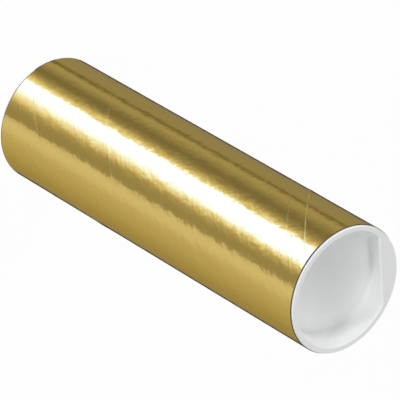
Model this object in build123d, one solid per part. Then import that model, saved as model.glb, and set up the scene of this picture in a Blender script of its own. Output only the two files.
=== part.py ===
"""Mailing tube: a spiral-wound board tube closed at each end by a push-in plastic cap.

Millimetres, +Z up. The tube stands on its bottom cap, with the origin at the middle of that cap's flange.
Both caps are the same moulding, and the pull tab of each one is on the +X side.
"""

import os
from math import cos, radians, tan

from build123d import *

# Board tube
bore_diameter = 63.5
board_wall = 2.0
tube_length = 228.6
cut_edge_round = 0.3

# Cap flange, which seats on the cut end of the board
flange_thickness = 1.0
flange_setback = 0.4
rim_round = 0.35
mouth_round = 0.8

# Pull tab, a flat web that closes one side of the flange's mouth
tab_reach = 7.0
tab_corner_round = 2.0

# Cap plug, a shallow cup that goes into the bore
plug_length = 12.6
plug_wall = 1.2
plug_root_clearance = 0.35
plug_draft_degrees = 5
floor_thickness = 1.2
recess_corner_round = 2.0

# Friction beads round the plug, which hold the cap in the bore
bead_count = 2
first_bead_drop = 2.6
bead_pitch = 3.6
bead_width = 1.8
bead_clearance = 0.1

# Sizes that follow from the driving dimensions
bore_radius = bore_diameter / 2
tube_radius = bore_radius + board_wall
flange_radius = tube_radius - flange_setback
plug_taper = tan(radians(plug_draft_degrees))
plug_root_radius = bore_radius - plug_root_clearance
mouth_radius = plug_root_radius - plug_wall / cos(radians(plug_draft_degrees))
bead_crest_radius = bore_radius - bead_clearance
tab_edge_place = mouth_radius - tab_reach
floor_height = floor_thickness - plug_length


def on_section(radius, height):
    """A point of the cap's half section, at a height over the flange's seat."""
    return (radius, 0, height)


def on_plug(height):
    """A point on the tapered outside of the plug."""
    return on_section(plug_root_radius + height * plug_taper, height)


def on_recess(height):
    """A point on the tapered wall of the recess."""
    return on_section(mouth_radius + height * plug_taper, height)


def board_tube():
    """The wound board tube, with its cut ends softened, standing on z = 0."""
    wall_section = Pos(bore_radius + board_wall / 2, tube_length / 2) * RectangleRounded(
        board_wall, tube_length, cut_edge_round
    )
    return revolve(Plane.XZ * wall_section, axis=Axis.Z)


def bead_section(crest_height):
    """The section of one friction bead, an arc standing on the plug's outside."""
    lower_foot = on_plug(crest_height - bead_width / 2)
    upper_foot = on_plug(crest_height + bead_width / 2)
    crest = on_section(bead_crest_radius, crest_height)
    return make_face([ThreePointArc(lower_foot, crest, upper_foot), Line(upper_foot, lower_foot)])


def plug_cup():
    """The plug: a drafted cup with a flat floor, rounded corners and friction beads."""
    outside = FilletPolyline(
        on_section(0, -plug_length),
        on_plug(-plug_length),
        on_plug(0),
        radius=recess_corner_round + plug_wall,
    )
    inside = FilletPolyline(
        on_section(0, floor_height),
        on_recess(floor_height),
        on_recess(0),
        radius=recess_corner_round,
    )
    axis_edge = Line(on_section(0, -plug_length), on_section(0, floor_height))
    seat_edge = Line(on_recess(0), on_plug(0))
    section = make_face([axis_edge, *outside.edges(), seat_edge, *inside.edges()])
    for bead in range(bead_count):
        section += bead_section(-first_bead_drop - bead * bead_pitch)
    return revolve(section, axis=Axis.Z)


def front_face(plate):
    """The flange's flat face that shows at the end of the tube."""
    return plate.faces().sort_by(Axis.Z)[-1]


def flange():
    """The flange ring with its pull tab, and with the edges of its front face rounded."""
    beyond_tab_edge = Pos(tab_edge_place + mouth_radius, 0) * Rectangle(2 * mouth_radius, 2 * mouth_radius)
    mouth = Circle(mouth_radius) - beyond_tab_edge
    mouth = fillet(mouth.vertices(), tab_corner_round)
    plate = extrude(Circle(flange_radius) - mouth, amount=flange_thickness)
    plate = fillet(front_face(plate).outer_wire().edges(), rim_round)
    return fillet(front_face(plate).inner_wires().edges(), mouth_round)


def end_cap():
    """One cap, with the flange's seat on z = 0 and its front facing up."""
    return plug_cup() + flange()


cap = end_cap()
pieces = {
    "tube": Pos(0, 0, flange_thickness) * board_tube(),
    "top_cap": Pos(0, 0, flange_thickness + tube_length) * cap,
    "bottom_cap": Pos(0, 0, flange_thickness) * Rot(180, 0, 0) * cap,
}

os.makedirs("parts", exist_ok=True)
for node, solid in pieces.items():
    export_step(solid, f"parts/{node}.step")
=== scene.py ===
"""Looks of the mailing tube: gold foil on wound board, and two white push-in caps.

Metres, in the row frame: +Z up, and the tube stands on its bottom cap at the origin.
"""

from math import cos, pi, radians, sin, tan

import bpy
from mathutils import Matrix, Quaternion, Vector


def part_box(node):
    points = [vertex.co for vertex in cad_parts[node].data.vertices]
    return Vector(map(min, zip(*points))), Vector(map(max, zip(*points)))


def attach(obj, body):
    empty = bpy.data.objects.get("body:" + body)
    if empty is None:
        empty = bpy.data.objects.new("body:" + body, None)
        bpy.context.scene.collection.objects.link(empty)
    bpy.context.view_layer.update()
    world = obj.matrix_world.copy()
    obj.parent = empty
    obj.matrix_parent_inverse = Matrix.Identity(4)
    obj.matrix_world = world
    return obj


MM = 0.001

# Foil wrap: one strip, wound up the tube with a lap along its edge
WIND_ANGLE = radians(45)
LAP_EDGE_HEIGHT = 152.0 * MM
LAP_RISE = 14.0 * MM
LAP_STEP = 0.14 * MM
LAP_SINK = 0.05 * MM
LAP_RAMP = 0.2 * MM
LAP_ROUND = 0.16 * MM
LAP_ROUND_STEPS = 4
LAP_TURNS = 2
LAP_STEPS_PER_TURN = 360
LAP_WELD = 0.002 * MM
LAP_SMOOTH_ANGLE = radians(60)

# Camera, fitted to the outline in the photograph
AIM = Vector((2.88, 0.05, 117.45)) * MM
CAMERA_DISTANCE = 2044.24 * MM
CAMERA_AZIMUTH = radians(133.955)
CAMERA_ELEVATION = radians(42.422)
CAMERA_ROLL = radians(120.316)
LENS_MM = 368.02
SENSOR_MM = 36.0
SIGHT_LIMIT = 100.0

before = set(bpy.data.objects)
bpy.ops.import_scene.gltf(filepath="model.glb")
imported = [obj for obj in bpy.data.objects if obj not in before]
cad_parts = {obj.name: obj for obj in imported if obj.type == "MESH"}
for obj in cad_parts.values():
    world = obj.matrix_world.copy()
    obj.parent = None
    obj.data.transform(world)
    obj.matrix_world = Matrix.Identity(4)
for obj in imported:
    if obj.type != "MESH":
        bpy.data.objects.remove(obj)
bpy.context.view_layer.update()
tube_low, tube_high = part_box("tube")

# Sizes that follow from the frame
TUBE_RADIUS = tube_high.x
TUBE_TURN = 2 * pi * TUBE_RADIUS
WIND_PITCH = TUBE_TURN * tan(WIND_ANGLE)
STRIP_WIDTH = TUBE_TURN * sin(WIND_ANGLE)


def direction(azimuth, elevation=0.0):
    """The unit vector at an azimuth from +X and an elevation over the floor."""
    flat = cos(elevation)
    return Vector((flat * cos(azimuth), flat * sin(azimuth), sin(elevation)))


# Shader helpers

WHITE = (1.0, 1.0, 1.0, 1.0)
FINE_DETAIL = 2.0
SOFT_DETAIL = 1.5


def put(tree, kind, inputs=None, **settings):
    """A new node with its settings, and with each input set to a value or linked to a socket."""
    node = tree.nodes.new(kind)
    for name, value in settings.items():
        setattr(node, name, value)
    for name, value in (inputs or {}).items():
        if isinstance(value, bpy.types.NodeSocket):
            tree.links.new(value, node.inputs[name])
        else:
            node.inputs[name].default_value = value
    return node


def calc(tree, operation, first, second=0.0):
    """The result of one Math node."""
    return put(tree, "ShaderNodeMath", {0: first, 1: second}, operation=operation).outputs[0]


def added(tree, total, pattern, weight):
    """A total with a weighted pattern added to it."""
    return calc(tree, "ADD", total, calc(tree, "MULTIPLY", pattern, weight))


def ramped(tree, value, low, high, to_low=0.0, to_high=1.0):
    """A value that is eased from one level to another while its source goes from low to high."""
    inputs = {"Value": value, "From Min": low, "From Max": high, "To Min": to_low, "To Max": to_high}
    return put(tree, "ShaderNodeMapRange", inputs, interpolation_type="SMOOTHSTEP").outputs["Result"]


def noise(tree, vector, scale, detail=FINE_DETAIL):
    """A noise value from 0 to 1."""
    inputs = {"Vector": vector, "Scale": scale, "Detail": detail}
    return put(tree, "ShaderNodeTexNoise", inputs).outputs["Fac"]


def blended(tree, share, first, second):
    """One colour that goes over into another."""
    node = put(tree, "ShaderNodeMix", data_type="RGBA")
    for socket, value in (("Factor_Float", share), ("A_Color", first), ("B_Color", second)):
        target = next(s for s in node.inputs if s.identifier == socket)
        if isinstance(value, bpy.types.NodeSocket):
            tree.links.new(value, target)
        else:
            target.default_value = value
    return next(s for s in node.outputs if s.identifier == "Result_Color")


def new_material(name):
    """An empty material, with its node tree and its output node."""
    material = bpy.data.materials.new(name)
    material.use_nodes = True
    tree = material.node_tree
    tree.nodes.clear()
    return material, tree, tree.nodes.new("ShaderNodeOutputMaterial")


# Gold foil and board

FOIL_GOLD = (0.72, 0.512, 0.13, 1.0)
FOIL_DEEP = (0.67, 0.472, 0.118, 1.0)
FOIL_PALE = (0.77, 0.552, 0.142, 1.0)
FOIL_EDGE_TINT = (0.97, 0.82, 0.49, 1.0)
FOIL_FLECK = 0.8 * MM
FOIL_ROUGHNESS = 0.10
FOIL_ROUGHNESS_SPREAD = 0.05

# Where the foil ends: how deep under the outside at the cut edge, and how far from the cut ends, where the
# bare board edge shows with a painted shadow of the gap under the cap's flange
FOIL_DEPTH_NONE = 0.30 * MM
FOIL_DEPTH_FULL = 0.15 * MM
FOIL_TRIM_NONE = 0.45 * MM
FOIL_TRIM_FULL = 0.65 * MM

# Relief of the foil: the width and length of its streaks, the size of its peel, and their heights
BROAD_STREAK = (9.0 * MM, 60.0 * MM)
BROAD_HEIGHT = 0.10 * MM
MIDDLE_STREAK = (3.6 * MM, 15.0 * MM)
MIDDLE_HEIGHT = 0.06 * MM
FINE_STREAK = (1.4 * MM, 14.0 * MM)
FINE_HEIGHT = 0.010 * MM
PEEL_SIZE = 4.0 * MM
PEEL_HEIGHT = 0.15 * MM

# Ply seams under the foil, by their places across the strip, and the plies on the cut ends
PLY_SEAMS = (42.9 * MM, 140.9 * MM)
SEAM_REACH = 0.6 * MM
SEAM_HEIGHT = 0.015 * MM
PLY_THICKNESS = 0.5 * MM
PLY_LINE_REACH = 0.12 * MM

# Dull wear of the foil along its lap and, by a smaller share, along the ply seams
SEAM_WEAR = 0.4
WORN_ROUGHNESS = 0.38
WEAR_PATCH = 7.0 * MM
WEAR_PATCH_RANGE = (0.35, 0.60)
LEAST_WEAR = 0.2

# Bare board
BOARD_GREY = (0.40, 0.34, 0.27, 1.0)
BOARD_DARK = (0.30, 0.25, 0.19, 1.0)
BOARD_LINE = (0.17, 0.135, 0.10, 1.0)
BOARD_LINE_SHARE = 0.7
BOARD_ROUGHNESS = 0.85
# Bare board edge at the cut ends, darkened as a painted shadow of the gap under the cap's flange
BOARD_EDGE_AND_GAP_SHADOW = (0.07, 0.05, 0.03, 1.0)
GRAIN_PER_METRE = 900.0
GRAIN_DETAIL = 4.0
GRAIN_RANGE = (0.35, 0.7)
GRAIN_HEIGHT = 0.05 * MM


def strip_place(tree):
    """A point's place, height and radius, and where it is on the unrolled strip: across and along it."""
    place = put(tree, "ShaderNodeTexCoord").outputs["Object"]
    x, y, z = put(tree, "ShaderNodeSeparateXYZ", {0: place}).outputs
    round_tube = calc(tree, "MULTIPLY", calc(tree, "ARCTAN2", y, x), TUBE_RADIUS)
    height = calc(tree, "SUBTRACT", z, LAP_EDGE_HEIGHT)
    up_part = calc(tree, "MULTIPLY", height, cos(WIND_ANGLE))
    back_part = calc(tree, "MULTIPLY", round_tube, sin(WIND_ANGLE))
    from_lap = calc(tree, "SUBTRACT", up_part, back_part)
    turn = calc(tree, "FLOOR", calc(tree, "DIVIDE", from_lap, STRIP_WIDTH))
    across = calc(tree, "SUBTRACT", from_lap, calc(tree, "MULTIPLY", turn, STRIP_WIDTH))
    along_part = calc(tree, "MULTIPLY", round_tube, cos(WIND_ANGLE))
    along = calc(tree, "ADD", along_part, calc(tree, "MULTIPLY", height, sin(WIND_ANGLE)))
    along = calc(tree, "ADD", along, calc(tree, "MULTIPLY", turn, TUBE_TURN * cos(WIND_ANGLE)))
    flat = put(tree, "ShaderNodeCombineXYZ", {0: x, 1: y}).outputs[0]
    radius = put(tree, "ShaderNodeVectorMath", {0: flat}, operation="LENGTH").outputs["Value"]
    return place, z, radius, across, along


def streaks(tree, across, along, size, detail=FINE_DETAIL):
    """Noise drawn out along the strip, with streaks of about that width and length."""
    width, length = size
    vector = put(tree, "ShaderNodeCombineXYZ", {
        0: calc(tree, "DIVIDE", across, width),
        1: calc(tree, "DIVIDE", along, length),
    }).outputs[0]
    return noise(tree, vector, 1.0, detail)


def seam_line(tree, across, seam_place):
    """A soft line along the strip, at a place across it."""
    distance = calc(tree, "ABSOLUTE", calc(tree, "SUBTRACT", across, seam_place))
    return ramped(tree, distance, 0.0, SEAM_REACH, 1.0, 0.0)


def ply_lines(tree, radius):
    """Fine rings on the cut ends, where one ply of the board lies on the next."""
    depth = calc(tree, "SUBTRACT", TUBE_RADIUS + PLY_THICKNESS / 2, radius)
    from_line = calc(tree, "PINGPONG", depth, PLY_THICKNESS / 2)
    return ramped(tree, from_line, 0.0, PLY_LINE_REACH, 1.0, 0.0)


def gold_foil_board():
    """Gold foil outside, and bare wound board inside and on the cut ends, with a painted shadow of the gap
    under the caps along the ends' outer edge.
    """
    material, tree, output = new_material("gold_foil_board")
    place, height, radius, across, along = strip_place(tree)
    from_top = calc(tree, "SUBTRACT", tube_high.z, height)
    from_end = calc(tree, "MINIMUM", from_top, calc(tree, "SUBTRACT", height, tube_low.z))
    outside = ramped(tree, radius, TUBE_RADIUS - FOIL_DEPTH_NONE, TUBE_RADIUS - FOIL_DEPTH_FULL)
    foil = calc(tree, "MULTIPLY", outside, ramped(tree, from_end, FOIL_TRIM_NONE, FOIL_TRIM_FULL))

    broad = streaks(tree, across, along, BROAD_STREAK)
    middle = streaks(tree, across, along, MIDDLE_STREAK, SOFT_DETAIL)
    fine = streaks(tree, across, along, FINE_STREAK)
    peel = noise(tree, place, 1 / PEEL_SIZE, SOFT_DETAIL)
    relief = calc(tree, "MULTIPLY", broad, BROAD_HEIGHT)
    relief = added(tree, relief, middle, MIDDLE_HEIGHT)
    relief = added(tree, relief, fine, FINE_HEIGHT)
    relief = added(tree, relief, peel, PEEL_HEIGHT)

    to_lap = calc(tree, "MINIMUM", across, calc(tree, "SUBTRACT", STRIP_WIDTH, across))
    worn = seam_line(tree, to_lap, 0.0)
    board_lines = ply_lines(tree, radius)
    for seam_place in PLY_SEAMS:
        seam = seam_line(tree, across, seam_place)
        relief = added(tree, relief, seam, SEAM_HEIGHT)
        board_lines = calc(tree, "MAXIMUM", board_lines, seam)
        worn = calc(tree, "MAXIMUM", worn, calc(tree, "MULTIPLY", seam, SEAM_WEAR))
    patches = ramped(tree, noise(tree, place, 1 / WEAR_PATCH), *WEAR_PATCH_RANGE, LEAST_WEAR, 1.0)
    worn = calc(tree, "MULTIPLY", worn, patches)

    grain = noise(tree, place, GRAIN_PER_METRE, GRAIN_DETAIL)
    board_tone = blended(tree, ramped(tree, grain, *GRAIN_RANGE), BOARD_DARK, BOARD_GREY)
    line_share = calc(tree, "MULTIPLY", board_lines, BOARD_LINE_SHARE)
    board_tone = blended(tree, line_share, board_tone, BOARD_LINE)
    # Painted shadow of the gap under the cap's flange, on the board's outer edge at the cut ends
    board_tone = blended(tree, outside, board_tone, BOARD_EDGE_AND_GAP_SHADOW)
    foil_tone = blended(tree, noise(tree, place, 1 / FOIL_FLECK), FOIL_DEEP, FOIL_PALE)
    colour = blended(tree, foil, board_tone, foil_tone)

    foil_rough = added(tree, FOIL_ROUGHNESS, middle, FOIL_ROUGHNESS_SPREAD)
    foil_rough = added(tree, foil_rough, worn, WORN_ROUGHNESS)
    inputs = {"Value": foil, "To Min": BOARD_ROUGHNESS, "To Max": foil_rough}
    rough = put(tree, "ShaderNodeMapRange", inputs).outputs["Result"]
    board_relief = calc(tree, "MULTIPLY", grain, GRAIN_HEIGHT)
    inputs = {"Value": outside, "To Min": board_relief, "To Max": relief}
    all_relief = put(tree, "ShaderNodeMapRange", inputs, clamp=False).outputs["Result"]
    bump = put(tree, "ShaderNodeBump", {"Strength": 1.0, "Distance": 1.0, "Height": all_relief})

    shader = put(tree, "ShaderNodeBsdfPrincipled", {
        "Base Color": colour, "Metallic": foil, "Roughness": rough, "Normal": bump.outputs[0],
        "Specular Tint": FOIL_EDGE_TINT,
    })
    tree.links.new(shader.outputs[0], output.inputs["Surface"])
    return material


# White plastic

PLASTIC_WHITE = (0.87, 0.88, 0.88, 1.0)
PLASTIC_SHADE = (0.85, 0.86, 0.86, 1.0)
PLASTIC_ROUGHNESS = (0.38, 0.46)
SKIN_PER_METRE = 2500.0
SKIN_HEIGHT = 0.004 * MM
CLOUD_PER_METRE = 120.0
CLOUD_DETAIL = 3.0
CLOUD_RANGE = (0.3, 0.7)


def white_plastic():
    """Moulded white polyethylene with a soft sheen."""
    material, tree, output = new_material("white_plastic")
    place = put(tree, "ShaderNodeTexCoord").outputs["Object"]
    skin = noise(tree, place, SKIN_PER_METRE)
    cloud = noise(tree, place, CLOUD_PER_METRE, CLOUD_DETAIL)
    tone = blended(tree, ramped(tree, cloud, *CLOUD_RANGE), PLASTIC_SHADE, PLASTIC_WHITE)
    rough = ramped(tree, cloud, *CLOUD_RANGE, *PLASTIC_ROUGHNESS)
    relief = calc(tree, "MULTIPLY", skin, SKIN_HEIGHT)
    bump = put(tree, "ShaderNodeBump", {"Strength": 1.0, "Distance": 1.0, "Height": relief})
    shader = put(tree, "ShaderNodeBsdfPrincipled", {
        "Base Color": tone, "Roughness": rough, "Normal": bump.outputs[0],
    })
    tree.links.new(shader.outputs[0], output.inputs["Surface"])
    return material


# Foil lap


def switch_to(mode):
    """Go into edit mode, or back out of it."""
    bpy.ops.object.mode_set(mode=mode)


def pick(piece, chosen):
    """Select only the corners of a piece that are chosen by their place, and stay in edit mode."""
    switch_to("EDIT")
    bpy.ops.mesh.select_all(action="DESELECT")
    switch_to("OBJECT")
    for corner in piece.data.vertices:
        corner.select = chosen(corner.co)
    switch_to("EDIT")


def foil_lap():
    """The lap of the foil: a thin band that climbs round the tube, crisp below and thinning out upwards."""
    bpy.ops.object.select_all(action="DESELECT")
    bpy.ops.mesh.primitive_plane_add(size=1.0, rotation=(radians(90), 0, 0))
    band = bpy.context.object
    band.name = "foil_lap"
    band.scale = (LAP_STEP + LAP_SINK, LAP_RISE, 1.0)
    lower = LAP_EDGE_HEIGHT - WIND_PITCH
    middle = lower + LAP_RISE / 2
    band.location = (TUBE_RADIUS + (LAP_STEP - LAP_SINK) / 2, 0, middle)
    bpy.ops.object.transform_apply(location=True, rotation=True, scale=True)

    # The outer side is drawn down to a narrow crest, and the crest's lower corner is rounded
    pick(band, lambda place: place.x > TUBE_RADIUS and place.z > middle)
    bpy.ops.transform.translate(value=(0, 0, LAP_RAMP * 2 - LAP_RISE))
    pick(band, lambda place: place.x > TUBE_RADIUS and place.z < lower + LAP_RAMP)
    bpy.ops.transform.translate(value=(0, 0, LAP_RAMP))
    crest_middle = lower + (LAP_RAMP + LAP_RAMP * 2) / 2
    pick(band, lambda place: place.x > TUBE_RADIUS and place.z < crest_middle)
    bpy.ops.mesh.bevel(offset=LAP_ROUND, segments=LAP_ROUND_STEPS, affect="VERTICES")
    bpy.ops.mesh.select_all(action="SELECT")
    bpy.ops.mesh.delete(type="ONLY_FACE")
    switch_to("OBJECT")

    # The outline is wound up the tube and trimmed at the tube's ends
    wind = band.modifiers.new("wind", "SCREW")
    wind.axis = "Z"
    wind.angle = 2 * pi
    wind.screw_offset = WIND_PITCH
    wind.iterations = LAP_TURNS
    wind.steps = LAP_STEPS_PER_TURN
    wind.render_steps = LAP_STEPS_PER_TURN
    bpy.ops.object.modifier_apply(modifier=wind.name)
    switch_to("EDIT")
    for height, outward in ((tube_low.z, False), (tube_high.z, True)):
        bpy.ops.mesh.select_all(action="SELECT")
        bpy.ops.mesh.bisect(
            plane_co=(0, 0, height), plane_no=(0, 0, 1), use_fill=True,
            clear_outer=outward, clear_inner=not outward,
        )
    bpy.ops.mesh.select_all(action="SELECT")
    bpy.ops.mesh.remove_doubles(threshold=LAP_WELD)
    bpy.ops.mesh.normals_make_consistent(inside=False)
    switch_to("OBJECT")
    bpy.ops.object.shade_smooth_by_angle(angle=LAP_SMOOTH_ANGLE)
    return band


# Stage

FLOOR_RADIUS = 20.0
FLOOR_CORNERS = 64
FLOOR_PAPER = (0.8, 0.8, 0.8, 1.0)
FLOOR_GLOW_SHARE = 0.97
CARD_LENGTH = 12.0
MIRRORED_REACH = tube_high.z / tan(CAMERA_ELEVATION)
CARD_LIFT = 0.2 * MM

# Light tent: the surround's level, and each lamp's azimuth and elevation in degrees, its size in metres
# and its watts
SURROUND_LEVEL = 0.27
LAMP_DISTANCE = 1.5
LAMPS = (
    ("side", 44, 20, 0.4, 9.2),
    ("front", 156, 20, 0.3, 5.0),
    ("low_front", 134, 12, 0.6, 5.5),
    ("high_front", 89, 55, 0.6, 1.4),
    ("top", 215, 72, 0.3, 2.9),
    ("high_left", 254, 60, 0.3, 1.8),
)

# Glowing cards round the foot, seen only in gloss, which paint the foil's reflected bands and its
# highlight: the turns, in degrees, of the foil that mirrors them to the camera, at the tube's foot and at
# its top, and their grey level and highlight level
CARD_LEVELS = (
    (-90, -90, 0.24, 0.0), (-86.5, -86.5, 0.14, 0.0), (-83, -83, 0.06, 0.0),
    (-80, -80, 0.05, 0.0), (-77.5, -77.5, 0.29, 0.022), (-66, -66, 0.34, 0.03),
    (-56, -56.5, 0.355, 0.03), (-53, -54, 0.37, 0.012), (-51, -52.5, 0.22, 0.0),
    (-49.3, -50.8, 0.24, 0.0), (-46.5, -48, 0.46, 0.012), (-43.5, -44.5, 0.49, 0.01),
    (-39.8, -39.8, 0.40, 0.0), (-34.5, -33.5, 0.26, 0.0), (-31, -30, 0.27, 0.0),
    (-27.5, -25.5, 0.40, 0.0), (-24.3, -22.2, 0.67, 0.0), (-22, -19.8, 1.0, 0.01),
    (-20, -18.2, 1.0, 0.12), (-17.3, -15.8, 0.2, 1.1), (-12, -9, 0.1, 1.3),
    (-9.5, -2.6, 0.1, 1.15), (-7.5, -1.4, 0.3, 0.85), (-5.2, 0.0, 0.64, 0.55),
    (-2.9, 1.6, 0.93, 0.25), (-0.6, 2.8, 1.02, 0.09), (2.0, 4.4, 0.85, 0.012),
    (4.2, 6.9, 0.605, 0.0), (7.5, 9.2, 0.47, 0.0), (12, 12, 0.415, 0.0),
    (17.3, 18.2, 0.42, 0.0), (18.8, 20.2, 0.73, 0.03), (22.5, 23, 0.83, 0.04),
    (28, 28, 0.815, 0.038), (34, 34, 0.71, 0.012), (40, 40, 0.665, 0.0), (46, 46, 0.615, 0.0),
    (53, 53, 0.55, 0.0), (62, 62, 0.47, 0.0), (72, 72, 0.41, 0.0), (77.5, 77.5, 0.36, 0.0),
    (80, 80, 0.05, 0.0), (84.5, 84.5, 0.03, 0.0), (87.5, 87.5, 0.10, 0.0), (90, 90, 0.24, 0.0),
)
HIGHLIGHT_TINT = (0.90, 1.14, 1.0)
CARD_ROW_SHARES = (0.0, 0.04, 0.10, 0.20, 0.35, 0.60, 1.0)
FAR_CARD_REACH = 2 * MIRRORED_REACH
FAR_CARD_GREY = 0.30


def looked_at(tree):
    """1 for the rays that see a background: the camera's, and those of gloss and glass."""
    path = put(tree, "ShaderNodeLightPath").outputs
    seen = calc(tree, "MAXIMUM", path["Is Camera Ray"], path["Is Glossy Ray"])
    return calc(tree, "MAXIMUM", seen, path["Is Transmission Ray"])


def white_ground():
    """A pale floor that looks white to the camera and in gloss, and still takes a soft shadow."""
    material, tree, output = new_material("white_ground")
    paper = put(tree, "ShaderNodeBsdfDiffuse", {"Color": FLOOR_PAPER})
    glow = put(tree, "ShaderNodeEmission", {"Color": WHITE, "Strength": 1.0})
    share = calc(tree, "MULTIPLY", looked_at(tree), FLOOR_GLOW_SHARE)
    mix = put(tree, "ShaderNodeMixShader", {0: share, 1: paper.outputs[0], 2: glow.outputs[0]})
    tree.links.new(mix.outputs[0], output.inputs["Surface"])
    return material


def floor():
    """The floor that the tube stands on."""
    bpy.ops.object.select_all(action="DESELECT")
    bpy.ops.mesh.primitive_circle_add(vertices=FLOOR_CORNERS, radius=FLOOR_RADIUS, fill_type="NGON")
    ground = bpy.context.object
    ground.name = "floor"
    ground.data.materials.append(white_ground())


def reflection_card_glow():
    """A glow in each card's own tone, whatever light falls on it: painted reflections for the foil."""
    material, tree, output = new_material("reflection_card_glow")
    tone = put(tree, "ShaderNodeAttribute", attribute_name="tone").outputs["Color"]
    glow = put(tree, "ShaderNodeEmission", {"Color": tone, "Strength": 1.0})
    tree.links.new(glow.outputs[0], output.inputs["Surface"])
    return material


def card_tone(grey, highlight):
    """A card's colour: its grey, and a highlight tinted so that it looks white in the foil."""
    return [grey + highlight * tint / gold for tint, gold in zip(HIGHLIGHT_TINT, FOIL_GOLD)] + [1.0]


def on_floor(turn, reach):
    """The point of the floor that foil at that turn mirrors to the camera, at a reach from the tube."""
    wall = direction(CAMERA_AZIMUTH + radians(turn)) * (TUBE_RADIUS + CARD_LIFT)
    return wall + direction(CAMERA_AZIMUTH + radians(2 * turn)) * reach + Vector((0, 0, CARD_LIFT))


def reflection_cards():
    """A fan of glowing grey and light cards on the floor, seen only in gloss, that closes behind the tube
    and paints the foil's reflected bands and highlight.
    """
    corners = []
    tones = []
    for foot_turn, top_turn, grey, highlight in CARD_LEVELS:
        for share in CARD_ROW_SHARES:
            turn = foot_turn + (top_turn - foot_turn) * share
            corners.append(on_floor(turn, MIRRORED_REACH * share))
            tones += card_tone(grey, highlight)
        for reach in (FAR_CARD_REACH, CARD_LENGTH):
            corners.append(on_floor(top_turn, reach))
            tones += card_tone(max(grey, FAR_CARD_GREY), highlight)
    faces = []
    columns = len(CARD_LEVELS)
    rows = len(corners) // columns
    for column in range(columns):
        beside = (column + 1) % columns
        for row in range(rows - 1):
            near = column * rows + row
            near_beside = beside * rows + row
            faces.append((near, near + 1, near_beside + 1, near_beside))
    mesh = bpy.data.meshes.new("reflection_cards")
    mesh.from_pydata(corners, [], faces)
    mesh.attributes.new("tone", "FLOAT_COLOR", "POINT").data.foreach_set("color", tones)
    fan = bpy.data.objects.new("reflection_cards", mesh)
    bpy.context.scene.collection.objects.link(fan)
    mesh.materials.append(reflection_card_glow())
    fan.visible_camera = False
    fan.visible_diffuse = False
    fan.visible_shadow = False
    fan.visible_transmission = False


def lamp(name, azimuth, elevation, size, power):
    """A soft square lamp that faces the tube."""
    data = bpy.data.lights.new(name, "AREA")
    data.size = size
    data.energy = power
    light = bpy.data.objects.new(name, data)
    bpy.context.scene.collection.objects.link(light)
    light.location = AIM + direction(radians(azimuth), radians(elevation)) * LAMP_DISTANCE
    light.rotation_euler = (AIM - light.location).to_track_quat("-Z", "Y").to_euler()
    light.visible_camera = False


def camera():
    """The camera of the photograph."""
    data = bpy.data.cameras.new("camera")
    data.lens = LENS_MM
    data.sensor_width = SENSOR_MM
    data.clip_end = SIGHT_LIMIT
    view = bpy.data.objects.new("camera", data)
    bpy.context.scene.collection.objects.link(view)
    sight = direction(CAMERA_AZIMUTH, CAMERA_ELEVATION)
    view.location = AIM + sight * CAMERA_DISTANCE
    level = (-sight).to_track_quat("-Z", "Y")
    view.rotation_euler = (level @ Quaternion((0, 0, 1), CAMERA_ROLL)).to_euler()
    bpy.context.scene.camera = view


def studio():
    """The even surround and the soft lamps."""
    world = bpy.data.worlds.new("studio")
    bpy.context.scene.world = world
    world.use_nodes = True
    tree = world.node_tree
    level = ramped(tree, looked_at(tree), 0.0, 1.0, SURROUND_LEVEL, 1.0)
    background = tree.nodes["Background"]
    background.inputs["Color"].default_value = WHITE
    tree.links.new(level, background.inputs["Strength"])
    for settings in LAMPS:
        lamp(*settings)
    bpy.context.scene.view_settings.view_transform = "Standard"


foil = gold_foil_board()
plastic = white_plastic()
for node, finish in (("tube", foil), ("top_cap", plastic), ("bottom_cap", plastic)):
    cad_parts[node].material_slots[0].material = finish

lap = foil_lap()
lap.data.materials.append(foil)
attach(lap, "tube")

floor()
reflection_cards()
camera()
studio()
